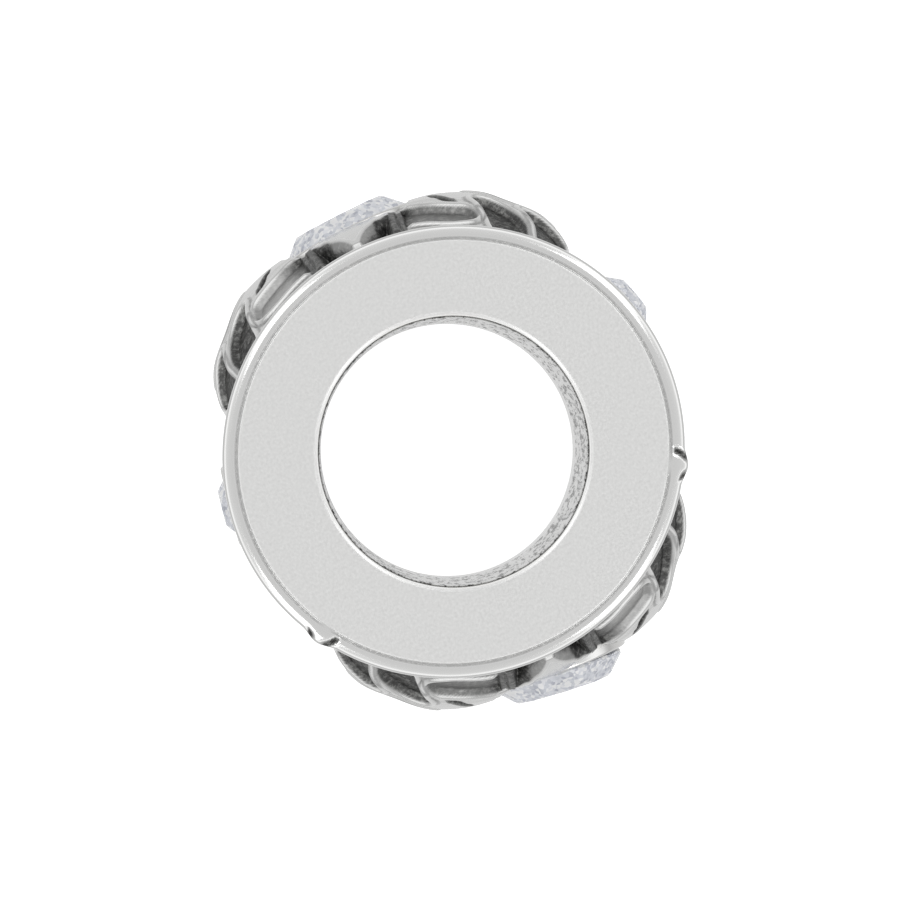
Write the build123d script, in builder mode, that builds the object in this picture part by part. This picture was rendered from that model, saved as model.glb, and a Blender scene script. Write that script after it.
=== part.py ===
# European charm bead in cast silver, with two raised flowers and four faceted stones.
# Millimetres. The bead stands on one end face at z = 0, its bore runs along +Z, and the
# flowers face +Y and -Y. Angles are degrees about the bore, from +X towards +Y.

import os
from math import cos, pi, radians, sin

from build123d import *

os.makedirs("parts", exist_ok=True)

# Barrel, bore and end faces
bead_length = 7.5
bore_radius = 2.4
bore_edge_round = 0.12
barrel_radius = 3.9
groove_depth = 0.05
rim_radius = 4.12
rim_width = 0.25
rim_thickness = 0.6
rim_round = 0.2
rim_back_round = 0.12

# Relief of the flowers, which swells from blank_radius to crest_radius
crest_radius = 4.84
blank_radius = 3.7
blank_overlap = 0.1
cell_floor_radius = 3.98
cutter_overrun = 0.5

# Rosette about each large stone, with round scoops at its sides
scoop_radius = 0.46
scoop_ring_radius = 1.84
scoop_tilt = 22.5

# Collar that grips a large stone
collar_radius = 1.36
collar_foot_radius = 1.4
collar_depth = 0.75
collar_top_radius = 4.52
collar_cover = 0.065

# Round boss that grips a small stone
boss_radius = 0.75
boss_top_radius = 4.2
boss_cover = 0.01

# Stones
large_stone_diameter = 2.45
small_stone_diameter = 1.15
stone_clearance = 0.04

# Knobs on one rim
knob_radius = 0.27
knob_centre_radius = 3.92
knob_drop = 0.28

# The brilliant cut, as shares of a stone's diameter, and of the way across a facet
large_cut = {"table": 0.7, "crown": 0.14}
small_cut = {"table": 0.57, "crown": 0.18}
girdle_share = 0.03
pavilion_share = 0.43
star_share = 0.5
lower_half_share = 0.8

# Height of the relief at degrees from a flower's middle, as a share of the whole swell
crest_profile = {
    0: 0.74, 16: 0.88, 22: 0.96, 28: 1.0, 37: 0.9, 47: 0.81, 52: 0.67, 56: 0.49, 60: 0.22, 66: 0
}
# What is left of that swell at heights from the middle, as shares of the relief's half width
relief_sections = {-1: 0.16, -0.5: 0.7, 0: 1.0, 0.5: 0.7, 1: 0.16}

# Leaf cells of one quarter of a flower. Each corner is degrees from the flower's middle, and
# a share of the relief's half width. A cell runs from its foot up its inner side, then in an
# arc through its top to its tip, and back along the rim.
leaf_cells = {
    "first": {"foot": (14.5, 0.83), "inner": (14.5, 0.42), "top": (25, 0.5), "tip": (32.5, 0.74)},
    "second": {"foot": (36, 0.83), "inner": (30.5, 0.34), "top": (39.5, 0.34), "tip": (46.2, 0.72)},
    "third": {"foot": (49, 0.74), "inner": (47, 0.27), "top": (52, 0.2), "tip": (55.5, 0.42)},
}
# The pointed leaf that lies across the middle, on each side of a flower
side_leaf = {"inner": 27.5, "tip": 50, "belly": 0.19}
# A window of the rosette, in the same terms. Two of them leave a pointed tongue between, which
# hangs from the collar to the rim, and a window runs out past the rim at its open end.
rosette_window = {"point": (0.7, 0.98), "waist": (4.2, 0.72), "top": (10, 0.49), "post": (11.6, 0.56)}

flower_start = 90
flower_count = 2
knob_angles = (209.5, 332.5)

# Where each stone sits. A rise is how far it stands out of its plain place in the collar or boss,
# and a lean is how many degrees it is turned there.
large_settings = {
    "large_stone_1": {"angle": 90, "rise": 0.0, "lean": 1.5},
    "large_stone_2": {"angle": 270.5, "rise": 0.1, "lean": -8.7},
}
small_settings = {
    "small_stone_1": {"angle": 15, "rise": 0.09},
    "small_stone_2": {"angle": 168.7, "rise": -0.05},
}

mid_height = bead_length / 2
face_radius = rim_radius - rim_width
relief_half_width = mid_height - rim_thickness
relief_swell = crest_radius - blank_radius
leaf_radius = (barrel_radius + crest_radius) / 2
relief_reach = max(crest_profile)
relief_steps = sorted({sign * step for step in crest_profile for sign in (-1, 1)})
wall_middle_radius = (bore_radius + barrel_radius) / 2
cutter_length = crest_radius + cutter_overrun - cell_floor_radius


def outward(angle):
    """The direction out of the bore at an angle."""
    return Vector(cos(radians(angle)), sin(radians(angle)), 0)


def radial_plane(angle, distance, lean=0):
    """A plane facing outwards: x runs round the bead and y up it, from the middle height."""
    origin = outward(angle) * distance + Vector(0, 0, mid_height)
    return Plane(origin=origin, x_dir=outward(angle + lean + 90), z_dir=outward(angle + lean))


def leaf_corner(corner, middle, side, end):
    """A corner of a leaf cell on the radial plane at the middle of that cell."""
    angle, share = corner
    around = radians(angle - middle) * leaf_radius
    return (side * around, end * share * relief_half_width)


def brilliant_corners(diameter, cut):
    """Corners of a round brilliant, its girdle about z = 0 and its table upwards."""
    radius = diameter / 2
    girdle = girdle_share * diameter / 2
    table_height = girdle + cut["crown"] * diameter
    culet_height = -girdle - pavilion_share * diameter
    table_radius = cut["table"] * radius
    half_step = radians(22.5)
    quarter_step = half_step / 2

    table_side = table_radius * cos(half_step)
    star_radius = table_side + star_share * (radius - table_side)
    star_run = (radius - star_radius * cos(half_step)) / (radius - table_radius)
    star_height = girdle + (table_height - girdle) * star_run
    lower_radius = radius * (1 - lower_half_share)
    lower_run = 1 - lower_radius * cos(half_step) / radius
    lower_height = -girdle + (culet_height + girdle) * lower_run

    # A half facet is flat, so it dips where the round girdle stands out between its corners
    bulge = radius * (1 - cos(quarter_step))
    upper_slope = (star_height - girdle) / ((radius - star_radius) * cos(quarter_step))
    lower_slope = (lower_height + girdle) / ((radius - lower_radius) * cos(quarter_step))
    rings = (
        (table_radius, table_height, 0, 8),
        (star_radius, star_height, half_step, 8),
        (radius, girdle, 0, 16),
        (radius, girdle - bulge * upper_slope, quarter_step, 16),
        (radius, -girdle - bulge * lower_slope, quarter_step, 16),
        (radius, -girdle, 0, 16),
        (lower_radius, lower_height, half_step, 8),
    )
    corners = [(0, 0, culet_height)]
    for ring_radius, height, start, count in rings:
        for i in range(count):
            turn = start + 2 * pi * i / count
            corners.append((ring_radius * cos(turn), ring_radius * sin(turn), height))
    return corners


def seat_outline(diameter, cut):
    """Half outline of a stone's seat: the stone's own outline with its clearance, open above."""
    girdle = girdle_share * diameter / 2 + stone_clearance
    wide = diameter / 2 + stone_clearance
    mouth = cut["table"] * diameter / 2 + stone_clearance
    crown = girdle + cut["crown"] * diameter
    culet = girdle + pavilion_share * diameter
    open_end = 2 * crown
    return [(0, -culet), (wide, -girdle), (wide, girdle), (mouth, crown), (mouth, open_end), (0, open_end)]


# Every stone's diameter, its cut, and the plane through the middle of its girdle
stones = {}
for name, setting in large_settings.items():
    girdle_top = collar_top_radius - collar_cover + setting["rise"]
    girdle_middle = girdle_top - girdle_share * large_stone_diameter / 2
    girdle_plane = radial_plane(setting["angle"], girdle_middle, setting["lean"])
    stones[name] = (large_stone_diameter, large_cut, girdle_plane)
for name, setting in small_settings.items():
    girdle_top = boss_top_radius - boss_cover + setting["rise"]
    girdle_middle = girdle_top - girdle_share * small_stone_diameter / 2
    stones[name] = (small_stone_diameter, small_cut, radial_plane(setting["angle"], girdle_middle))

# One flower that faces +X, as a patch that fits over the barrel
with BuildPart() as flower:
    for share, fall in relief_sections.items():
        height = mid_height + share * (relief_half_width + blank_overlap)
        with BuildSketch(Plane.XY.offset(height)):
            with BuildLine():
                top = Spline(
                    *[
                        outward(step) * (blank_radius + relief_swell * crest_profile[abs(step)] * fall)
                        for step in relief_steps
                    ]
                )
                left = Line(top @ 1, outward(relief_reach) * wall_middle_radius)
                right = Line(top @ 0, outward(-relief_reach) * wall_middle_radius)
                ThreePointArc(left @ 1, (wall_middle_radius, 0), right @ 1)
            make_face()
    loft()

    for side in (-1, 1):
        for cell in leaf_cells.values():
            middle = (cell["foot"][0] + cell["tip"][0]) / 2
            with BuildSketch(radial_plane(side * middle, cell_floor_radius)):
                for end in (-1, 1):
                    foot, inner, top, tip = (
                        leaf_corner(cell[corner], middle, side, end)
                        for corner in ("foot", "inner", "top", "tip")
                    )
                    with BuildLine():
                        Line(foot, inner)
                        ThreePointArc(inner, top, tip)
                        Line(tip, foot)
                    make_face()
            extrude(amount=cutter_length, mode=Mode.SUBTRACT)
        middle = (side_leaf["inner"] + side_leaf["tip"]) / 2
        reach = radians(side_leaf["tip"] - middle) * leaf_radius
        belly = side_leaf["belly"] * relief_half_width
        with BuildSketch(radial_plane(side * middle, cell_floor_radius)):
            with BuildLine():
                ThreePointArc((-reach, 0), (0, belly), (reach, 0))
                ThreePointArc((reach, 0), (0, -belly), (-reach, 0))
            make_face()
        extrude(amount=cutter_length, mode=Mode.SUBTRACT)

    window_end = relief_half_width + blank_overlap
    scoop_around = scoop_ring_radius * cos(radians(scoop_tilt))
    scoop_up = scoop_ring_radius * sin(radians(scoop_tilt))
    with BuildSketch(radial_plane(0, cell_floor_radius)):
        for side in (-1, 1):
            for end in (-1, 1):
                point, waist, top, post = (
                    leaf_corner(rosette_window[corner], 0, side, end)
                    for corner in ("point", "waist", "top", "post")
                )
                with BuildLine():
                    ThreePointArc(point, waist, top)
                    Polyline(top, post, (post[0], end * window_end), (point[0], end * window_end), point)
                make_face()
        with GridLocations(2 * scoop_around, 2 * scoop_up, 2, 2):
            Circle(scoop_radius)
    extrude(amount=cutter_length, mode=Mode.SUBTRACT)

with BuildPart() as bead_body:
    # Bored barrel between two flat ends, each with a fine groove and a rounded rim
    crown_radius = rim_radius - rim_round
    inner_run = crown_radius - face_radius
    inner_round = (inner_run**2 + groove_depth**2) / (2 * groove_depth)
    rim_foot = mid_height - rim_thickness
    groove_bottom = (face_radius, mid_height - groove_depth)
    rim_crown = (crown_radius, mid_height)
    rim_side = (rim_radius, mid_height - rim_round)
    rim_back = (rim_radius, rim_foot + rim_back_round)
    rim_under = (rim_radius - rim_back_round, rim_foot)
    bore_end = (bore_radius, mid_height - bore_edge_round)
    bore_lip = (bore_radius + bore_edge_round, mid_height)
    with BuildSketch(Plane(origin=(0, 0, mid_height), x_dir=(1, 0, 0), z_dir=(0, -1, 0))):
        with BuildLine():
            Polyline(
                rim_under,
                (barrel_radius, rim_foot),
                (barrel_radius, 0),
                (bore_radius, 0),
                bore_end,
            )
            RadiusArc(bore_end, bore_lip, bore_edge_round)
            Polyline(bore_lip, (face_radius - groove_depth, mid_height), groove_bottom)
            RadiusArc(groove_bottom, rim_crown, inner_round)
            RadiusArc(rim_crown, rim_side, rim_round)
            Line(rim_side, rim_back)
            RadiusArc(rim_back, rim_under, rim_back_round)
        make_face()
        mirror(about=Plane.XZ)
    revolve(axis=Axis.Z)
    with PolarLocations(0, flower_count, start_angle=flower_start):
        add(flower.part)

    for setting in large_settings.values():
        with BuildSketch(radial_plane(setting["angle"], collar_top_radius - collar_depth)):
            Circle(collar_foot_radius)
        with BuildSketch(radial_plane(setting["angle"], collar_top_radius)):
            Circle(collar_radius)
        loft()
    for setting in small_settings.values():
        with BuildSketch(radial_plane(setting["angle"], wall_middle_radius)):
            Circle(boss_radius)
        extrude(amount=boss_top_radius - wall_middle_radius)
    for angle in knob_angles:
        with Locations(outward(angle) * knob_centre_radius + Vector(0, 0, bead_length - knob_drop)):
            Sphere(knob_radius)

    for diameter, cut, girdle_plane in stones.values():
        with BuildSketch(Plane(origin=girdle_plane.origin, x_dir=(0, 0, 1), z_dir=girdle_plane.x_dir)):
            with BuildLine():
                Polyline(*seat_outline(diameter, cut), close=True)
            make_face()
        revolve(axis=Axis(girdle_plane.origin, girdle_plane.z_dir), mode=Mode.SUBTRACT)

bead_body.part.label = "bead_body"
export_step(bead_body.part, "parts/bead_body.step")

for name, (diameter, cut, girdle_plane) in stones.items():
    with BuildPart(girdle_plane) as stone:
        ConvexPolyhedron(brilliant_corners(diameter, cut))
    stone.part.label = name
    export_step(stone.part, f"parts/{name}.step")
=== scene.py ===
# European charm bead of cast silver, dressed for its picture.
# The bead stands on its far end face, the bore runs along +Z, and the flowers face +Y and -Y.
# Sizes are millimetres and angles are degrees about the bore, from +X towards +Y, unless a
# comment says otherwise.

from math import cos, pi, radians, sin

import bmesh
import bpy
import numpy as np
from mathutils import Matrix, Vector


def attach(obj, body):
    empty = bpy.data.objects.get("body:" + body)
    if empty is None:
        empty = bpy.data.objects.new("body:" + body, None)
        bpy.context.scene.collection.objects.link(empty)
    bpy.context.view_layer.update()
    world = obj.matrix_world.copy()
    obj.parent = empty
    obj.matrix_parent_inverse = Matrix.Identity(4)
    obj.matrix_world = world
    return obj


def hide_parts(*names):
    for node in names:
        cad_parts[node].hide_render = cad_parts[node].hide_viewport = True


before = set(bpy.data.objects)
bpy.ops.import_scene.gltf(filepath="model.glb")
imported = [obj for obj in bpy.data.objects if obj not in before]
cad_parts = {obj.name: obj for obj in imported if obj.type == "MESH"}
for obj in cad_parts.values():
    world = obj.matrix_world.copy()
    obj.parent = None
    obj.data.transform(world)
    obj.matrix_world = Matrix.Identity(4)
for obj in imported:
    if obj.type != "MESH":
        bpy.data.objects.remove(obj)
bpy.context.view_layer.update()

MILLIMETRE = 0.001

# Barrel, bore and end faces
BEAD_LENGTH = 7.5
BORE_RADIUS = 2.4
BORE_EDGE_ROUND = 0.12
BARREL_RADIUS = 3.9
FACE_RADIUS = 3.835

# Steps round the barrel, rows of points along its bore, face, rim and outer wall, and the gaps
# left at the ends of those rows
ROUND_STEPS = 720
BORE_ROWS = 9
BORE_GAP = 0.05
FACE_ROWS = 5
FACE_GAPS = (0.02, 0.05)
RIM_ROWS = 3
RIM_GAP = 0.03
RIM_BACK_STEPS = 6
BARREL_ROWS = 13
BARREL_GAP = 0.1

# The bore's cast finish, as depths below the near end. It also covers the first rows of the lip.
CAST_FROM = 0.05
CAST_TO = 6.2
LIP_STEPS = 8
LIP_CAST_ROWS = 5

# The hairline groove between a face and its rim: out from the face's edge, down, and the finish
GROOVE_WIDTH = 0.04
GROOVE_DEPTH = 0.014
# How dark the groove's faces are made, as a share
GROOVE_DARKENING = 0.5
GROOVE = (
    (-0.012, 0.0, "satin"),
    (0.0, 0.005, "groove"),
    (GROOVE_WIDTH / 2, GROOVE_DEPTH, "groove"),
    (GROOVE_WIDTH, 0.008, "groove"),
    (GROOVE_WIDTH + 0.02, 0.002, "polished"),
)

# A rim falls outwards along a crown that is squarer than a round one, whose squareness is 2. It is
# oval, longer along X, and the oval starts some way inside the rim.
RIM_INNER_RADIUS = FACE_RADIUS + GROOVE_WIDTH
RIM_RADIUS = 4.105
RIM_FALL = 0.16
RIM_SQUARENESS = 2.9
RIM_THICKNESS = 0.6
RIM_BACK_ROUND = 0.12
RIM_OVAL = 0.065
OVAL_FROM = 2.6
CROWN_TURNS = np.linspace(84, 0, 17)[:-1]

# Two knobs swell out of the near rim, each inside a sunken foot that curves round it, darkened with
# painted shade. The foot and its painted shade stop short of the face on the side of lower angles.
KNOB_ANGLES = (208.7, 331.0)
KNOB_HALF_LENGTH = 0.36
KNOB_HEIGHT = 0.075
KNOB_START = 0.06
KNOB_FOOT_RADIUS = 0.29
KNOB_FOOT_WIDTH = 0.055
KNOB_FOOT_DEPTH = 0.1
KNOB_FOOT_END = 1.4
KNOB_FOOT_TOP = (0.06, 0.08)
KNOB_FOOT_CUT_BACK = 0.14
KNOB_FOOT_START = 0.04

MIDDLE = BEAD_LENGTH / 2
HALF_WIDTH = MIDDLE - RIM_THICKNESS

# A flower's swell stands on a blank and falls from the middle of the bead towards its ends. Its
# height is a share of the whole swell at degrees from the flower's middle.
CREST = {
    0: 0.74, 8: 0.77, 16: 0.88, 22: 0.96, 28: 1.0, 37: 0.9,
    47: 0.81, 52: 0.67, 56: 0.49, 60: 0.22, 66: 0.0,
}
CREST_RADIUS = 4.84
BLANK_RADIUS = 3.7
EDGE_SHARE = 0.16
FALL_POWER = 1.5
FALL_END = 1.02
FULLER_FADE = 10
UNROLL_RADIUS = 4.37
RIM_TUCK = 0.16

# The rosette's skirt about a large stone
SKIRT_TOP = 4.5
SKIRT_DROP = 0.42
SKIRT_POWER = 1.6
SKIRT_REACH = 1.8
SKIRT_EDGE = 0.88
SKIRT_SIDE_SLOPE = 1.6

# Slow unevenness left by the hand, as a sum of waves. How fine each wave is is drawn at random.
UNEVEN_HEIGHT = 0.006
UNEVEN_SIZE = 1.1
UNEVEN_WAVES = 7
UNEVEN_DIVISOR = 5
UNEVEN_FINENESS = (0.6, 1.6)
UNEVEN_SEED = 3

# A flower's patch of mesh: its reach, its steps in degrees and mm, and how far it goes under a rim
PATCH_REACH = 61.0
PATCH_STEP = 0.25
PATCH_ROW = 0.019
PATCH_TUCK = 0.04

# Raised lines round the cells, and finer chased lines beside the first leaf
LINE_WIDTH = 0.12
LINE_HEIGHT = 0.06
LINE_ROUNDNESS = 0.8
CHASED_LINE_SPACING = 0.25
CHASED_LINE_HEIGHT = 0.02

# How the relief blends, each as a place and the width of its fade, in mm. Places are round from a
# flower's middle (x), up from it (y), or inside or outside a cell's outline.
LAND_DROP_X = (1.1, 0.9)
CELL_EDGE_INSIDE = (-0.015, 0.03)
WALL_TARNISH_INSIDE = (0.11, 0.05)
BESIDE_FROM_OUTSIDE = (0.1, 0.03)
BESIDE_TO_OUTSIDE = (0.2, 0.04)
CHASED_FROM_OUTSIDE = (0.13, 0.03)
CHASED_TO_OUTSIDE = (0.75, 0.2)
CHASED_TO_Y = (2.3, 0.2)
LEAF_LINE_FROM_X = (1.0, 0.15)
LEAF_DARK_TO_X = (1.35, 0.4)
LEAF_PALER_SIDE_FROM_X = (1.15, 0.4)
WINDOW_LINE_TO_X = (0.72, 0.1)
WINDOW_LINE_TO_Y = (3.05, 0.4)
WINDOW_PALE_TO_X = (0.48, 0.1)
POST_FROM_X = (0.74, 0.03)
POST_TO_X = (1.07, 0.05)
POST_FROM_Y = (1.1, 0.15)

# How much lower the land lies beyond the rosette, as a share of the lines' height, and how much
# tarnish each place has, gains or loses
LAND_DROP = 0.75
LAND_TARNISH = 0.12
BESIDE_TARNISH = 0.5
POST_TARNISH = 0.93
LEAF_DARKER = 0.25
LEAF_PALER_SIDE = 0.3
WINDOW_PALER = 0.36

# Cells of one quarter of a flower, in millimetres round and up from its middle as unrolled. Each
# has a depth, a width of sloping wall, tarnish on its floor and on its wall, and a share of a
# raised line round it. No cell is cut below the floor radius.
CELL_FLOOR_RADIUS = 3.93
CELLS = {
    "rosette window": {
        "outline": (
            (0.06, 3.6), (0.06, 3.2), (0.09, 2.94), (0.24, 2.5), (0.4, 2.24), (0.57, 1.98), (0.7, 1.74),
            (0.76, 1.72), (0.78, 1.95), (0.78, 2.4), (0.78, 3.2), (0.78, 3.6), (0.4, 3.7),
        ),
        "depth": 0.6,
        "wall": 0.3,
        "tarnish_and_shade": 0.97,
        "wall_tarnish": 0.97,
        "line": 0.6,
    },
    "post groove": {
        "outline": (
            (0.85, 1.6), (0.9, 1.6), (0.93, 2.0), (0.93, 2.7), (0.89, 2.8), (0.85, 2.7), (0.84, 2.0),
        ),
        "depth": 0.08,
        "wall": 0.04,
        "tarnish_and_shade": 0.97,
        "wall_tarnish": 0.97,
        "line": 0.0,
    },
    "first leaf": {
        "outline": (
            (1.0, 1.1), (1.26, 1.22), (1.56, 1.42), (1.94, 1.55), (2.17, 1.63), (2.31, 1.8), (2.38, 2.08),
            (2.26, 2.38), (1.94, 2.47), (1.49, 2.43), (1.02, 2.34), (0.99, 2.3), (0.98, 1.7), (0.98, 1.14),
        ),
        "depth": 0.11,
        "wall": 0.075,
        "tarnish_and_shade": 0.74,
        "wall_tarnish": 0.8,
        "line": 1.0,
    },
    "second leaf": {
        "outline": (
            (2.27, 0.98), (2.42, 1.46), (2.56, 2.02), (2.68, 2.5), (2.8, 2.72), (3.2, 2.72), (3.4, 2.5),
            (3.36, 2.1), (3.3, 1.74), (3.14, 1.36), (2.88, 1.04), (2.56, 0.88),
        ),
        "depth": 0.14,
        "wall": 0.075,
        "tarnish_and_shade": 1.0,
        "wall_tarnish": 0.94,
        "line": 1.0,
    },
    "third leaf": {
        "outline": (
            (3.12, 0.72), (3.38, 0.7), (3.7, 0.78), (3.98, 0.84), (4.15, 0.96), (4.16, 1.3), (4.06, 1.8),
            (3.88, 2.3), (3.66, 2.5), (3.56, 2.2), (3.48, 1.7), (3.32, 1.2),
        ),
        "depth": 0.12,
        "wall": 0.075,
        "tarnish_and_shade": 1.0,
        "wall_tarnish": 0.94,
        "line": 1.0,
    },
    "side leaf": {
        "outline": ((2.2, 0.07), (2.5, 0.24), (2.95, 0.34), (3.35, 0.3), (3.74, 0.08), (3.0, 0.06)),
        "depth": 0.11,
        "wall": 0.07,
        "tarnish_and_shade": 0.85,
        "wall_tarnish": 0.95,
        "line": 0.35,
    },
    "petal slit": {
        "outline": (
            (1.52, 0.3), (1.53, 0.5), (1.62, 0.82), (1.75, 1.06), (1.94, 1.2), (2.02, 1.22), (1.93, 0.98),
            (1.8, 0.7), (1.66, 0.44),
        ),
        "depth": 0.15,
        "wall": 0.05,
        "tarnish_and_shade": 1.0,
        "wall_tarnish": 1.0,
        "line": 0.0,
    },
}
OUTLINE_STEPS = 8

# Collars, bosses and the seats in them. A foot is drawn as (distance out from the ring's radius,
# distance from the bore's axis). The girdle and the seat's depths are shares of the stone's
# diameter, and the shoulder's width is a share of the seat's.
COLLAR_RADIUS = 1.36
COLLAR_TOP = 4.45
COLLAR_SADDLE = 0.06
COLLAR_SEAT = 4.38
COLLAR_BEVEL = 0.1
COLLAR_FOOT = ((-0.03, 4.0), (0.0, 4.25))
COLLAR_LIP_STEPS = 14
COLLAR_OVERLAP = 0.05
BOSS_RADIUS = 0.75
BOSS_TOP = 4.2
BOSS_LIP = 0.05
BOSS_LIP_TURN = 100
BOSS_LIP_STEPS = 10
BOSS_FOOT = ((0.14, 3.84), (0.05, 3.92), (0.015, 4.0), (0.0, 4.08))
MOUTH_DROP = 0.01
LARGE_STONE = 2.45
SMALL_STONE = 1.15
STONE_CLEARANCE = 0.04
GIRDLE_SHARE = 0.03
SEAT_SHOULDER_WIDTH = 0.5
SEAT_SHOULDER_DOWN = 0.24
SEAT_POINT_DOWN = 0.47
SETTING_STEPS = 144
SHAPED_FROM = 4.1
SHAPED_FADE = 0.2

# How much narrower the openings in the barrel are than the collars and bosses that cover them
COLLAR_COVER = 0.14
BOSS_COVER = 0.12

# Where the stones sit, as angles and as how far each stands out of its plain place. A collar is
# drawn up on one side by its tilt. A flower is fuller from one angle about its middle to another,
# by an amount in millimetres.
LARGE_SETTINGS = {
    "large_stone_1": {"flower": 89.5, "angle": 90, "tilt": -0.02, "fuller": (-64, -25, 0.06)},
    "large_stone_2": {"flower": 269.5, "angle": 270.5, "tilt": 0.17, "fuller": (11, 40, 0.07)},
}
SMALL_SETTINGS = {
    "small_stone_1": {"angle": 15, "rise": 0.09},
    "small_stone_2": {"angle": 168.7, "rise": -0.05},
}


# Colours and nodes


def from_hex(code):
    """An sRGB hex colour as linear values."""
    shares = [int(code[i : i + 2], 16) / 255 for i in (0, 2, 4)]
    linear = [s / 12.92 if s <= 0.04045 else ((s + 0.055) / 1.055) ** 2.4 for s in shares]
    return (*linear, 1.0)


def per_mm(size):
    """Texture scale that gives features of a size in millimetres."""
    return 1 / (size * MILLIMETRE)


def add_node(tree, kind, settings=None, links=None):
    """Adds a node. Settings are properties or input values, links are inputs fed by an output."""
    node = tree.nodes.new(kind)
    for name, value in (settings or {}).items():
        if name in node.inputs:
            node.inputs[name].default_value = value
        else:
            setattr(node, name, value)
    for name, output in (links or {}).items():
        tree.links.new(output, node.inputs[name])
    return node


def new_material(name):
    """An empty material, its node tree, and the object coordinates that its patterns use."""
    material = bpy.data.materials.new(name)
    material.use_nodes = True
    tree = material.node_tree
    tree.nodes.clear()
    place = add_node(tree, "ShaderNodeTexCoord").outputs["Object"]
    return material, tree, place


def finish_material(tree, settings, links):
    """Adds the surface's shader and the output."""
    shader = add_node(tree, "ShaderNodeBsdfPrincipled", settings, links)
    add_node(tree, "ShaderNodeOutputMaterial", links={"Surface": shader.outputs["BSDF"]})


def noise(tree, place, size, detail, roughness=0.5):
    """A cloudy pattern with features of a size in millimetres."""
    settings = {"Scale": per_mm(size), "Detail": detail, "Roughness": roughness}
    return add_node(tree, "ShaderNodeTexNoise", settings, {"Vector": place}).outputs["Fac"]


def ramp(tree, source, stops):
    """A colour ramp through stops of (place, linear colour)."""
    node = add_node(tree, "ShaderNodeValToRGB", links={"Fac": source})
    elements = node.color_ramp.elements
    while len(elements) < len(stops):
        elements.new(0.5)
    for element, (place, colour) in zip(elements, stops):
        element.position = place
        element.color = colour
    return node.outputs["Color"]


def hex_ramp(tree, source, stops):
    """A colour ramp through stops of (place, sRGB hex code)."""
    return ramp(tree, source, [(place, from_hex(code)) for place, code in stops])


def remap(tree, source, before, after):
    """Turns one range of values into another."""
    settings = {
        "From Min": before[0],
        "From Max": before[1],
        "To Min": after[0],
        "To Max": after[1],
    }
    return add_node(tree, "ShaderNodeMapRange", settings, {"Value": source}).outputs["Result"]


def combine(tree, operation, first, second):
    """Adds or multiplies two values."""
    links = {0: first, 1: second}
    return add_node(tree, "ShaderNodeMath", {"operation": operation}, links).outputs["Value"]


def dented(tree, height, strength, distance):
    """The surface's direction, roughened by a height. The distance is in millimetres."""
    settings = {"Strength": strength, "Distance": distance * MILLIMETRE}
    return add_node(tree, "ShaderNodeBump", settings, {"Height": height}).outputs["Normal"]


def polished_silver():
    """Sterling silver, cast and buffed by hand: mirror bright, with soft buffing marks."""
    material, tree, place = new_material("polished sterling silver")
    cloud = noise(tree, place, 0.9, 3.0)
    grain = noise(tree, place, 0.07, 4.0, 0.6)
    links = {
        "Base Color": hex_ramp(tree, cloud, ((0.3, "E9E8E6"), (0.7, "F4F4F3"))),
        "Roughness": remap(tree, grain, (0.3, 0.7), (0.1, 0.2)),
        "Normal": dented(tree, grain, 0.18, 0.004),
    }
    finish_material(tree, {"Metallic": 1.0}, links)
    return material


def satin_silver():
    """The end faces, ground flat on fine paper: an even pale grey with no clear reflection."""
    material, tree, place = new_material("satin ground silver")
    grain = noise(tree, place, 0.05, 2.0)
    links = {
        "Base Color": hex_ramp(tree, grain, ((0.2, "E4E4E3"), (0.8, "E9E9E8"))),
        "Roughness": remap(tree, grain, (0.3, 0.7), (0.34, 0.42)),
    }
    finish_material(tree, {"Metallic": 1.0}, links)
    return material


def cast_silver():
    """The bore's wall, left as it was cast: pale, with dark pits drawn out along the bore."""
    material, tree, place = new_material("as cast silver")
    stretch = {"Scale": (1.0, 1.0, 0.1)}
    drawn = add_node(tree, "ShaderNodeMapping", stretch, {"Vector": place}).outputs["Vector"]
    pits = noise(tree, drawn, 0.11, 4.0, 0.75)
    waves = noise(tree, place, 0.3, 4.0, 0.7)
    stops = ((0.4, "1C1C1C"), (0.44, "90908F"), (0.49, "F0F0EF"), (0.6, "FCFCFB"))
    links = {
        "Base Color": hex_ramp(tree, pits, stops),
        "Normal": dented(tree, combine(tree, "ADD", waves, pits), 0.6, 0.02),
    }
    finish_material(tree, {"Metallic": 1.0, "Roughness": 0.28}, links)
    return material


def relief_silver():
    """The flowers: polished on every raised line, and dark with oxide where the buff can't reach. On the
    rim it also darkens the groove, and paints shade into the knobs' feet.
    """
    material, tree, place = new_material("oxidised relief silver")
    # This attribute darkens the flowers' hollows with oxide and the knobs' feet with painted shade
    tarnish_and_shade = add_node(tree, "ShaderNodeAttribute", {"attribute_name": "tarnish_and_shade"}).outputs["Fac"]
    mottle = noise(tree, place, 0.1, 5.0, 0.7)
    grain = noise(tree, place, 0.06, 3.0)
    oxide = hex_ramp(tree, mottle, ((0.34, "1E1E1D"), (0.5, "4A4A49"), (0.64, "868684")))
    blend = add_node(tree, "ShaderNodeMix", {"data_type": "RGBA"}, {"Factor": tarnish_and_shade})
    bare, dark = (socket for socket in blend.inputs if socket.type == "RGBA")
    bare.default_value = from_hex("F1F1F0")
    tree.links.new(oxide, dark)
    links = {
        "Base Color": next(socket for socket in blend.outputs if socket.type == "RGBA"),
        "Roughness": remap(tree, tarnish_and_shade, (0.0, 1.0), (0.14, 0.48)),
        "Normal": dented(tree, combine(tree, "MULTIPLY", grain, tarnish_and_shade), 0.8, 0.02),
    }
    finish_material(tree, {"Metallic": 1.0}, links)
    return material


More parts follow.
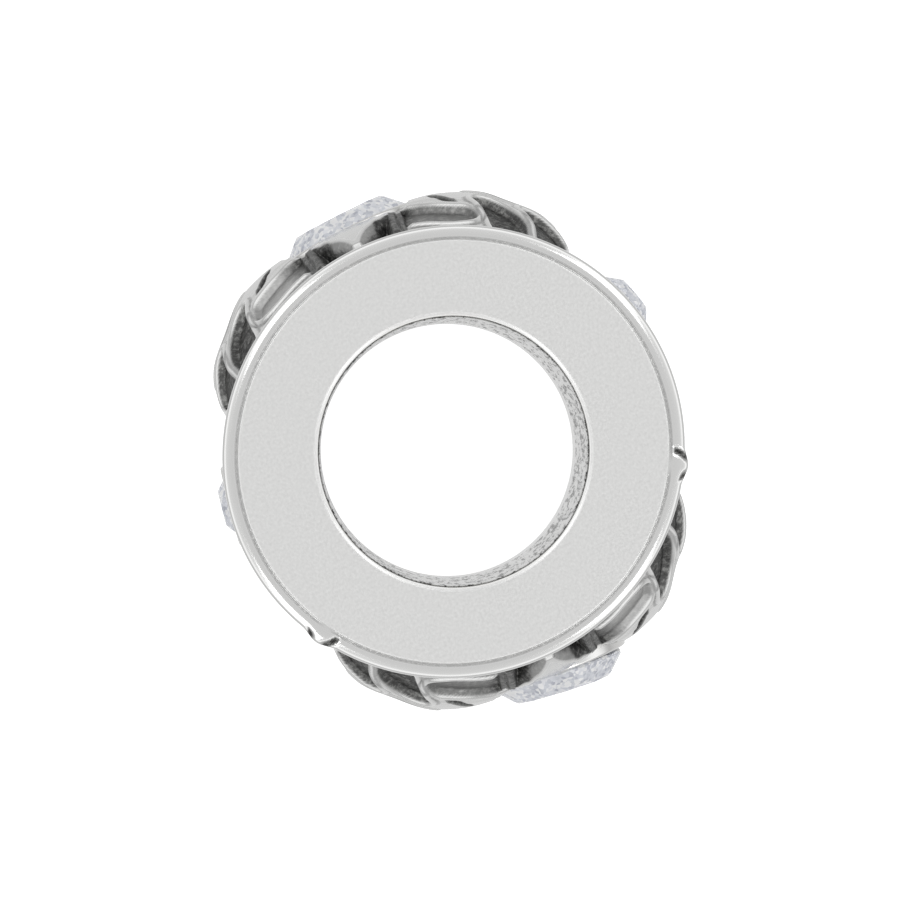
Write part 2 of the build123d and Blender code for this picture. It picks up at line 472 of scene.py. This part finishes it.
def clear_stone():
    """Cut and polished clear stone: flat facets, with the back facets' pale and grey flashes painted into
    its colour as painted reflections.
    """
    material, tree, place = new_material("clear cut stone")
    # Painted reflections: patches of pale and grey in the base colour stand for the flashes of the back
    # facets
    cells = {"Scale": per_mm(0.07), "Randomness": 1.0}
    flash = add_node(tree, "ShaderNodeTexVoronoi", cells, {"Vector": place}).outputs["Color"]
    spark = add_node(tree, "ShaderNodeSeparateColor", links={"Color": flash}).outputs["Red"]
    broad = noise(tree, place, 0.35, 4.0)
    shade = remap(tree, combine(tree, "ADD", spark, broad), (0.0, 2.0), (0.0, 1.0))
    stops = ((0.25, "BABDC7"), (0.38, "D6D9E1"), (0.54, "EAECF2"), (0.68, "FFFFFF"))
    settings = {"Metallic": 0.0, "Roughness": 0.03, "IOR": 1.9, "Transmission Weight": 0.38}
    finish_material(tree, settings, {"Base Color": hex_ramp(tree, shade, stops)})
    return material


def light_table():
    """Opal sheet of a light table, lit evenly from below, with the faint tooth of its matt side."""
    material, tree, place = new_material("opal light table")
    tooth = noise(tree, place, 0.8, 3.0)
    settings = {
        "Metallic": 0.0,
        "Roughness": 0.9,
        "Specular IOR Level": 0.1,
        "Emission Color": from_hex("FFFFFF"),
        "Emission Strength": 0.95,
    }
    links = {"Base Color": hex_ramp(tree, tooth, ((0.3, "B0B0B0"), (0.7, "B6B6B6")))}
    finish_material(tree, settings, links)
    return material


# Shapes


def new_piece(name, points, faces, materials, tarnish_and_shade, slots=None):
    """A smooth mesh object from points in millimetres, with the darkening from oxide and painted shade at
    each point.

    The slots are the material of each face, and without them all faces have the first one."""
    mesh = bpy.data.meshes.new(name)
    mesh.from_pydata([tuple(p) for p in np.asarray(points) * MILLIMETRE], [], faces)
    for material in materials:
        mesh.materials.append(material)
    mesh.polygons.foreach_set("use_smooth", [True] * len(mesh.polygons))
    if slots is not None:
        mesh.polygons.foreach_set("material_index", slots)
    mesh.attributes.new("tarnish_and_shade", "FLOAT", "POINT").data.foreach_set("value", tarnish_and_shade)
    mesh.update()
    piece = bpy.data.objects.new(name, mesh)
    bpy.context.scene.collection.objects.link(piece)
    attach(piece, "root")
    return piece


def drop_loose_points(piece):
    """Removes points that no face uses."""
    work = bmesh.new()
    work.from_mesh(piece.data)
    bmesh.ops.delete(work, geom=[v for v in work.verts if not v.link_faces], context="VERTS")
    work.to_mesh(piece.data)
    work.free()


def close_and_face_out(piece):
    """Merges doubled points at a pole or seam, and turns every face outwards."""
    work = bmesh.new()
    work.from_mesh(piece.data)
    bmesh.ops.remove_doubles(work, verts=work.verts, dist=0.0005 * MILLIMETRE)
    bmesh.ops.recalc_face_normals(work, faces=work.faces)
    work.to_mesh(piece.data)
    work.free()


def smooth_table(table, at):
    """Reads a table at any place along a curve that is smooth through its entries."""
    keys = np.array(sorted(table), float)
    values = np.array([table[key] for key in sorted(table)])
    slopes = np.gradient(values, keys)
    slopes[0] = slopes[-1] = 0.0
    at = np.clip(at, keys[0], keys[-1])
    i = np.clip(np.searchsorted(keys, at, side="right") - 1, 0, len(keys) - 2)
    span = keys[i + 1] - keys[i]
    t = (at - keys[i]) / span
    return (
        (2 * t**3 - 3 * t**2 + 1) * values[i]
        + (t**3 - 2 * t**2 + t) * span * slopes[i]
        + (3 * t**2 - 2 * t**3) * values[i + 1]
        + (t**3 - t**2) * span * slopes[i + 1]
    )


def smooth_outline(corners):
    """A closed curve through the corners, as points."""
    p = np.array(corners, float)
    before = np.roll(p, 1, 0)
    after = np.roll(p, -1, 0)
    beyond = np.roll(p, -2, 0)
    rows = []
    for t in np.arange(OUTLINE_STEPS) / OUTLINE_STEPS:
        rows.append(
            0.5
            * (
                2 * p
                + (after - before) * t
                + (2 * before - 5 * p + 4 * after - beyond) * t**2
                + (3 * p - before - 3 * after + beyond) * t**3
            )
        )
    return np.stack(rows, 1).reshape(-1, 2)


def depth_inside(x, y, outline):
    """How far each place is inside a closed outline, and below zero outside it."""
    tiny = 1e-12
    nearest = np.full(x.shape, np.inf)
    inside = np.zeros(x.shape, bool)
    for (ax, ay), (bx, by) in zip(outline, np.roll(outline, -1, 0)):
        dx = bx - ax
        dy = by - ay
        along = np.clip(((x - ax) * dx + (y - ay) * dy) / (dx * dx + dy * dy + tiny), 0, 1)
        nearest = np.minimum(nearest, np.hypot(x - ax - along * dx, y - ay - along * dy))
        crosses = (ay > y) != (by > y)
        edge = ax + (y - ay) * dx / (dy if abs(dy) > tiny else tiny)
        inside ^= crosses & (x < edge)
    return np.where(inside, nearest, -nearest)


def ease(t):
    """From 0 to 1 with soft ends."""
    t = np.clip(t, 0, 1)
    return t * t * (3 - 2 * t)


def rise(at, start, width):
    """0 up to a start, and 1 from a width beyond it."""
    return ease((at - start) / width)


def fade(at, end, width):
    """1 up to a width before an end, and 0 from the end on."""
    return ease((end - at) / width)


def hand_finish(x, y):
    """Slow unevenness of a hand-finished casting, from about -1 to 1."""
    draw = np.random.default_rng(UNEVEN_SEED)
    total = np.zeros(np.broadcast(x, y).shape)
    for _ in range(UNEVEN_WAVES):
        turn = draw.uniform(0, 2 * pi)
        phase = draw.uniform(0, 2 * pi)
        fine = draw.uniform(*UNEVEN_FINENESS)
        total += np.sin((x * cos(turn) + y * sin(turn)) * 2 * pi * fine / UNEVEN_SIZE + phase)
    return total / UNEVEN_DIVISOR


def skirt(x, y):
    """The rosette's skirt, which falls from the collar towards the rims."""
    share = np.clip((np.hypot(x, y) - COLLAR_RADIUS) / SKIRT_REACH, 0, 2)
    beside = np.clip(x - SKIRT_EDGE, 0, None)
    return SKIRT_TOP - SKIRT_DROP * share**SKIRT_POWER - SKIRT_SIDE_SLOPE * beside


def land(around, x, y, fuller):
    """The flower's swell without lines and cells, or the rosette's skirt where that is higher."""
    start, end, amount = fuller
    fall = 1 - (1 - EDGE_SHARE) * np.minimum(y / HALF_WIDTH, FALL_END) ** FALL_POWER
    swell = (CREST_RADIUS - BLANK_RADIUS) * smooth_table(CREST, np.abs(around))
    swell += amount * rise(around, start, FULLER_FADE) * fade(around, end, FULLER_FADE)
    lower = LAND_DROP * LINE_HEIGHT * rise(x, *LAND_DROP_X)
    return np.maximum(BLANK_RADIUS + swell * fall - lower, skirt(x, y))


def chased_lines(outside, y):
    """Height of the fine lines that follow the first leaf outside its raised line."""
    band = rise(outside, *CHASED_FROM_OUTSIDE) * fade(outside, *CHASED_TO_OUTSIDE) * fade(y, *CHASED_TO_Y)
    return CHASED_LINE_HEIGHT * band * (0.5 + 0.5 * np.cos(2 * pi * outside / CHASED_LINE_SPACING))


def relief(around, up, fuller):
    """Distance from the bore's axis, and tarnish, at degrees round and mm up from a flower's middle."""
    x = np.abs(np.radians(around)) * UNROLL_RADIUS
    y = np.abs(up)
    raised = np.zeros(x.shape)
    sunk = np.zeros(x.shape)
    tarnish_and_shade = np.zeros(x.shape)
    for name, cell in CELLS.items():
        depth = depth_inside(x, y, smooth_outline(cell["outline"]))
        outside = -depth
        off_line = (outside - LINE_WIDTH / 2) / (LINE_WIDTH / 2)
        line = cell["line"] * LINE_HEIGHT * np.clip(1 - off_line**2, 0, 1) ** LINE_ROUNDNESS
        on_wall = fade(depth, *WALL_TARNISH_INSIDE)
        dark = cell["tarnish_and_shade"] + (cell["wall_tarnish"] - cell["tarnish_and_shade"]) * on_wall
        if name == "first leaf":
            # It has no line at its inner end, where it is darkest, and on one side the leaf is paler
            line *= rise(x, *LEAF_LINE_FROM_X)
            dark += LEAF_DARKER * fade(x, *LEAF_DARK_TO_X)
            dark -= LEAF_PALER_SIDE * (around > 0) * rise(x, *LEAF_PALER_SIDE_FROM_X)
            raised += chased_lines(outside, y)
        if name == "rosette window":
            line *= fade(x, *WINDOW_LINE_TO_X) * fade(y, *WINDOW_LINE_TO_Y)
            dark -= WINDOW_PALER * fade(x, *WINDOW_PALE_TO_X)
        if cell["line"] == 1.0:
            beside = rise(outside, *BESIDE_FROM_OUTSIDE) * fade(outside, *BESIDE_TO_OUTSIDE)
            tarnish_and_shade = np.maximum(tarnish_and_shade, BESIDE_TARNISH * beside)
        raised = np.maximum(raised, line)
        sunk = np.maximum(sunk, cell["depth"] * ease(depth / cell["wall"]))
        tarnish_and_shade = np.maximum(tarnish_and_shade, np.clip(dark, 0, 1) * rise(depth, *CELL_EDGE_INSIDE))

    # Land between the lines keeps a little oxide, and the post beside the window keeps most of it
    low = np.clip(1 - raised / LINE_HEIGHT, 0, 1)
    post = rise(x, *POST_FROM_X) * fade(x, *POST_TO_X) * rise(y, *POST_FROM_Y)
    tarnish_and_shade = np.maximum(tarnish_and_shade, np.maximum(LAND_TARNISH * low, POST_TARNISH * post))
    uneven = UNEVEN_HEIGHT * hand_finish(x * np.sign(around), up)
    radius = land(around, x, y, fuller) + raised + uneven
    radius = np.maximum(radius - sunk, np.minimum(radius, CELL_FLOOR_RADIUS))

    # Everything rounds down behind the rims
    tucked = rise(y, HALF_WIDTH - RIM_TUCK, RIM_TUCK) * np.clip(radius - BARREL_RADIUS, 0, None)
    return radius - tucked, tarnish_and_shade


def flower(name, fit, end, material):
    """One end's half of a flower's relief, as a patch that is open only where its collar covers it."""
    angles = np.arange(-PATCH_REACH, PATCH_REACH + PATCH_STEP / 2, PATCH_STEP)
    heights = end * np.linspace(0, HALF_WIDTH + PATCH_TUCK, int(HALF_WIDTH / PATCH_ROW) + 1)
    around, up = np.meshgrid(angles, heights)
    radius, tarnish_and_shade = relief(around, up, fit["fuller"])
    turn = np.radians(around + fit["flower"])
    points = np.stack((radius * np.cos(turn), radius * np.sin(turn), MIDDLE + up), -1).reshape(-1, 3)
    across = radius * np.sin(turn - radians(fit["angle"]))
    hidden = np.hypot(across, up) < COLLAR_RADIUS - COLLAR_OVERLAP
    columns = len(angles)
    faces = []
    for row in range(len(heights) - 1):
        for column in range(columns - 1):
            if hidden[row, column] and hidden[row + 1, column + 1]:
                continue
            a = row * columns + column
            faces.append((a, a + 1, a + columns + 1, a + columns)[::end])
    piece = new_piece(name, points, faces, [material], tarnish_and_shade.ravel())
    drop_loose_points(piece)
    return piece


def arc(centre, radius, start, end, steps):
    """Points along an arc, angles in degrees."""
    turns = np.radians(np.linspace(start, end, steps + 1))
    return [(centre[0] + radius * cos(t), centre[1] + radius * sin(t)) for t in turns]


def barrel_profile():
    """Half outline of the barrel as (distance from the axis, height above the middle, finish)."""
    top = MIDDLE
    lip_radius = BORE_RADIUS + BORE_EDGE_ROUND
    wall = np.linspace(0, top - BORE_EDGE_ROUND - BORE_GAP, BORE_ROWS)
    rows = [(BORE_RADIUS, z, "bore") for z in wall]
    lip = arc((lip_radius, top - BORE_EDGE_ROUND), BORE_EDGE_ROUND, 180, 90, LIP_STEPS)
    rows += [(x, z, "bore") for x, z in lip[:LIP_CAST_ROWS]]
    rows += [(x, z, "satin") for x, z in lip[LIP_CAST_ROWS:]]
    face = np.linspace(lip_radius + FACE_GAPS[0], FACE_RADIUS - FACE_GAPS[1], FACE_ROWS)
    rows += [(x, top, "satin") for x in face]
    rows += [(FACE_RADIUS + out, top - down, finish) for out, down, finish in GROOVE]
    crown = RIM_RADIUS - RIM_INNER_RADIUS
    power = 2 / RIM_SQUARENESS
    for turn in np.radians(CROWN_TURNS):
        out = crown * cos(turn) ** power
        down = RIM_FALL * (1 - sin(turn) ** power)
        rows.append((RIM_INNER_RADIUS + out, top - down, "polished"))
    under = top - RIM_THICKNESS + RIM_BACK_ROUND
    side = np.linspace(top - RIM_FALL, under + RIM_GAP, RIM_ROWS)
    rows += [(RIM_RADIUS, z, "polished") for z in side]
    back = arc((RIM_RADIUS - RIM_BACK_ROUND, under), RIM_BACK_ROUND, 0, -90, RIM_BACK_STEPS)
    rows += [(x, z, "polished") for x, z in back]
    rows += [(BARREL_RADIUS, top - RIM_THICKNESS, "polished")]
    outside = np.linspace(top - RIM_THICKNESS - BARREL_GAP, 0, BARREL_ROWS)
    rows += [(BARREL_RADIUS, z, "barrel") for z in outside]
    return rows


def knobs(turn, x):
    """How much of a knob's swell, and of the sunken foot round it that carries painted shade, there is at
    each turn and radius.
    """
    swell = np.zeros(turn.shape)
    foot = np.zeros(np.broadcast(turn, x).shape)
    for angle in KNOB_ANGLES:
        along = np.abs(np.angle(np.exp(1j * (turn - radians(angle))))) * RIM_RADIUS
        swell += np.cos(np.clip(along / KNOB_HALF_LENGTH, 0, 1) * pi / 2) ** 2
        reach = np.hypot(along, x - FACE_RADIUS)
        ring = ease(KNOB_FOOT_END - np.abs(reach - KNOB_FOOT_RADIUS) / KNOB_FOOT_WIDTH)
        # On the side of lower angles the foot and its painted shade stop short of the face
        worn = np.where(np.sin(turn - radians(angle)) > 0, 0.0, KNOB_FOOT_CUT_BACK)
        foot += ring * rise(along, *KNOB_FOOT_TOP) * rise(x, RIM_INNER_RADIUS + worn, KNOB_FOOT_START)
    return swell, foot


def under_stone(point, angle, reach):
    """True where a point of the wall lies within a reach of the line through a stone."""
    out = np.array((cos(radians(angle)), sin(radians(angle)), 0))
    side = np.array((-sin(radians(angle)), cos(radians(angle)), 0))
    if point @ out < 0:
        return False
    return np.hypot(point @ side, point[2] - MIDDLE) < reach


def barrel(polished, satin, cast, oxidised_and_shaded):
    """Bored barrel with its end faces and rims. Stones' seats are left open in its outer wall."""
    materials = [polished, satin, cast, oxidised_and_shaded]
    upper = barrel_profile()
    lower = [(x, -z, finish) for x, z, finish in reversed(upper[1:-1])]
    rows = upper + lower
    count = len(rows)
    x = np.array([row[0] for row in rows])
    z = np.array([row[1] for row in rows])
    finishes = [row[2] for row in rows]
    in_groove = np.array([finish == "groove" for finish in finishes])

    # The near rim carries the knobs, and the groove is filled where they stand
    turn = 2 * pi * np.arange(ROUND_STEPS)[:, None] / ROUND_STEPS
    swell, foot = knobs(turn, x)
    on_rim = rise(x, RIM_INNER_RADIUS, KNOB_START) * (z > MIDDLE - RIM_THICKNESS)
    outer = rise(x, RIM_INNER_RADIUS, RIM_RADIUS - RIM_INNER_RADIUS)
    oval = RIM_OVAL * np.clip((x - OVAL_FROM) / (RIM_RADIUS - OVAL_FROM), 0, 1)
    out = x + oval * np.cos(2 * turn) + outer * on_rim * KNOB_HEIGHT * swell
    high = MIDDLE + z - KNOB_FOOT_DEPTH * foot * on_rim
    high += (z > 0) * in_groove * swell * (MIDDLE - z)
    points = np.stack((out * np.cos(turn), out * np.sin(turn), high), -1).reshape(-1, 3)
    # Painted shade darkens the knobs' feet, and the groove is darkened by half except where a knob fills
    # it
    tarnish_and_shade = np.maximum(GROOVE_DARKENING * in_groove * (1 - swell), foot * on_rim)

    seats = [(fit["angle"], COLLAR_RADIUS - COLLAR_COVER) for fit in LARGE_SETTINGS.values()]
    seats += [(fit["angle"], BOSS_RADIUS - BOSS_COVER) for fit in SMALL_SETTINGS.values()]
    faces = []
    slots = []
    for i in range(ROUND_STEPS):
        start = i * count
        after = (i + 1) % ROUND_STEPS * count
        for j in range(count):
            k = (j + 1) % count
            face = (start + j, start + k, after + k, after + j)
            pair = {finishes[j], finishes[k]}
            if pair == {"barrel"}:
                middle = points[list(face)].mean(0)
                if any(under_stone(middle, angle, reach) for angle, reach in seats):
                    continue
            faces.append(face)
            depth = MIDDLE - (z[j] + z[k]) / 2
            if "bore" in pair and CAST_FROM < depth < CAST_TO:
                slots.append(materials.index(cast))
            # The groove and the knobs' rim faces take the relief's metal, which paints the knobs' feet
            # dark with painted shade
            elif "groove" in pair or (on_rim[j] > 0 and swell[i, 0] > 0):
                slots.append(materials.index(oxidised_and_shaded))
            elif pair == {"satin"}:
                slots.append(materials.index(satin))
            else:
                slots.append(materials.index(polished))
    return new_piece("barrel", points, faces, materials, tarnish_and_shade.ravel(), slots)


def setting(name, angle, profile, material, saddle=0.0, tilt=0.0):
    """A ring turned about the line through a stone, from an outline of (radius, distance out).

    Above its foot, a saddle lowers both of its sides, and a tilt lifts one and lowers the other."""
    out = np.array((cos(radians(angle)), sin(radians(angle)), 0))
    side = np.array((-sin(radians(angle)), cos(radians(angle)), 0))
    points = []
    faces = []
    count = len(profile)
    for i in range(SETTING_STEPS):
        turn = 2 * pi * i / SETTING_STEPS
        for x, y in profile:
            shaped = float(np.clip((y - SHAPED_FROM) / SHAPED_FADE, 0, 1))
            lift = (tilt * cos(turn) - saddle * cos(turn) ** 2) * shaped
            up = np.array((0, 0, MIDDLE + x * sin(turn)))
            points.append(out * (y + lift) + side * x * cos(turn) + up)
    for i in range(SETTING_STEPS):
        for j in range(count - 1):
            a = i * count + j
            d = (i + 1) % SETTING_STEPS * count + j
            faces.append((a, a + 1, d + 1, d))
    piece = new_piece(name, points, faces, [material], np.zeros(len(points)))
    close_and_face_out(piece)
    return piece


def seat(diameter, top, girdle_top):
    """The inner outline of a setting, from its mouth down to the point of the stone's seat."""
    wide = diameter / 2 + STONE_CLEARANCE
    girdle = girdle_top - GIRDLE_SHARE * diameter - STONE_CLEARANCE
    shoulder = (wide * SEAT_SHOULDER_WIDTH, girdle - SEAT_SHOULDER_DOWN * diameter)
    point = (0.0, girdle - SEAT_POINT_DOWN * diameter)
    return [(wide, top), (wide, girdle), shoulder, point]


def collar(name, fit, material):
    """The plain collar about a large stone, its edge worn round, and lower at its sides."""
    top = COLLAR_TOP + COLLAR_SADDLE
    edge = (COLLAR_RADIUS - LARGE_STONE / 2 - STONE_CLEARANCE) / 2
    outer = [(COLLAR_RADIUS + out, height) for out, height in COLLAR_FOOT]
    outer += [(COLLAR_RADIUS, top - COLLAR_BEVEL)]
    lip = arc((COLLAR_RADIUS - edge, top - edge), edge, 0, 180, COLLAR_LIP_STEPS)
    inner = seat(LARGE_STONE, top - edge - MOUTH_DROP, COLLAR_SEAT)
    return setting(name, fit["angle"], outer + lip + inner[1:], material, COLLAR_SADDLE, fit["tilt"])


def boss(name, fit, material):
    """The round boss about a small stone, with a soft foot."""
    outer = [(BOSS_RADIUS + out, height) for out, height in BOSS_FOOT]
    middle = (BOSS_RADIUS - BOSS_LIP, BOSS_TOP - BOSS_LIP)
    edge = arc(middle, BOSS_LIP, 0, BOSS_LIP_TURN, BOSS_LIP_STEPS)
    inner = seat(SMALL_STONE, BOSS_TOP - MOUTH_DROP, min(BOSS_TOP, BOSS_TOP + fit["rise"]))
    return setting(name, fit["angle"], outer + edge + inner, material)


# Camera: it looks almost straight down the bore, a hand's width away. The lens is in millimetres,
# and the nearest and farthest distances that it sees are in metres.
CAMERA_ROLL = 25.5
CAMERA_LEAN_ACROSS = 0.0178
CAMERA_LEAN_UP = 0.00404
CAMERA_DISTANCE = 113.2
FRAME_OFFSET_ACROSS = 0.0687
FRAME_OFFSET_DOWN = 0.0292
LENS = 253.04
SENSOR_WIDTH = 36.0
NEAREST = 0.005
FARTHEST = 20.0

# Half the floor's width, in metres
FLOOR_HALF = 0.6

# Soft boxes: turns in the picture, degrees above the horizon, metres and watts
SOFT_BOX_TURNS = (47, 142, 228, 320)
SOFT_BOX_LIFT = 50
SOFT_BOX_DISTANCE = 0.3
SOFT_BOX_WIDTH = 0.06
SOFT_BOX_HEIGHT = 0.2
SOFT_BOX_POWER = 0.085

# Light of the room, from straight down (0) through the horizon (0.5) to straight up (1)
ROOM_STRENGTH = 2.0
ROOM_LIGHT = (
    (0.0, 0.74), (0.12, 0.7), (0.3, 0.62), (0.42, 0.45), (0.48, 0.6),
    (0.54, 0.8), (0.64, 1.05), (0.74, 1.02), (0.85, 0.74), (1.0, 0.65),
)


def make_camera():
    """A camera that sees the near end face where the picture has it."""
    roll = radians(-CAMERA_ROLL)
    across = Vector((cos(roll), sin(roll), CAMERA_LEAN_ACROSS)).normalized()
    up = Vector((cos(roll + pi / 2), sin(roll + pi / 2), -CAMERA_LEAN_UP))
    back = across.cross(up).normalized()
    up = back.cross(across)
    end = Vector((0, 0, BEAD_LENGTH))
    place = end - FRAME_OFFSET_ACROSS * across + FRAME_OFFSET_DOWN * up + CAMERA_DISTANCE * back
    data = bpy.data.cameras.new("camera")
    data.lens = LENS
    data.sensor_width = SENSOR_WIDTH
    data.clip_start = NEAREST
    data.clip_end = FARTHEST
    camera = bpy.data.objects.new("camera", data)
    turn = Matrix((across, up, back)).transposed().to_4x4()
    camera.matrix_world = Matrix.Translation(place * MILLIMETRE) @ turn
    bpy.context.scene.collection.objects.link(camera)
    bpy.context.scene.camera = camera


def make_floor():
    """A wide light table under the bead. Silver doesn't mirror it."""
    mesh = bpy.data.meshes.new("floor")
    corners = [(x * FLOOR_HALF, y * FLOOR_HALF, 0) for x, y in ((-1, -1), (1, -1), (1, 1), (-1, 1))]
    mesh.from_pydata(corners, [], [(0, 1, 2, 3)])
    mesh.materials.append(light_table())
    floor = bpy.data.objects.new("floor", mesh)
    bpy.context.scene.collection.objects.link(floor)
    floor.visible_glossy = False


def make_soft_boxes():
    """Four soft boxes over the picture's corners."""
    for number, turn in enumerate(SOFT_BOX_TURNS, 1):
        angle = radians(turn - CAMERA_ROLL)
        lift = radians(SOFT_BOX_LIFT)
        out = Vector((cos(angle) * cos(lift), sin(angle) * cos(lift), sin(lift)))
        data = bpy.data.lights.new(f"soft_box_{number}", "AREA")
        data.shape = "RECTANGLE"
        data.size = SOFT_BOX_WIDTH
        data.size_y = SOFT_BOX_HEIGHT
        data.energy = SOFT_BOX_POWER
        light = bpy.data.objects.new(f"soft_box_{number}", data)
        light.location = out * SOFT_BOX_DISTANCE
        light.rotation_mode = "QUATERNION"
        light.rotation_quaternion = out.to_track_quat("Z", "Y")
        bpy.context.scene.collection.objects.link(light)


def make_room():
    """A pale room, darkest just below the horizon and brightest in a ring above it."""
    world = bpy.data.worlds.new("room")
    world.use_nodes = True
    tree = world.node_tree
    tree.nodes.clear()
    toward = add_node(tree, "ShaderNodeTexCoord").outputs["Generated"]
    height = add_node(tree, "ShaderNodeSeparateXYZ", links={"Vector": toward}).outputs["Z"]
    share = remap(tree, height, (-1.0, 1.0), (0.0, 1.0))
    stops = [(place, (*[light / ROOM_STRENGTH] * 3, 1.0)) for place, light in ROOM_LIGHT]
    links = {"Color": ramp(tree, share, stops)}
    room = add_node(tree, "ShaderNodeBackground", {"Strength": ROOM_STRENGTH}, links)
    add_node(tree, "ShaderNodeOutputWorld", links={"Surface": room.outputs["Background"]})
    bpy.context.scene.world = world
    bpy.context.scene.view_settings.view_transform = "Standard"


make_camera()
make_floor()
make_soft_boxes()
make_room()

polished = polished_silver()
satin = satin_silver()
cast = cast_silver()
oxidised_and_shaded = relief_silver()
stone = clear_stone()

body_pieces = [barrel(polished, satin, cast, oxidised_and_shaded)]
for number, fit in enumerate(LARGE_SETTINGS.values(), 1):
    body_pieces.append(flower(f"flower_{number}_near", fit, 1, oxidised_and_shaded))
    body_pieces.append(flower(f"flower_{number}_far", fit, -1, oxidised_and_shaded))
    body_pieces.append(collar(f"collar_{number}", fit, polished))
for number, fit in enumerate(SMALL_SETTINGS.values(), 1):
    body_pieces.append(boss(f"boss_{number}", fit, polished))
for piece in body_pieces:
    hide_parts("bead_body")

for name in (*LARGE_SETTINGS, *SMALL_SETTINGS):
    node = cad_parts[name]
    for material_slot in node.material_slots:
        material_slot.material = stone
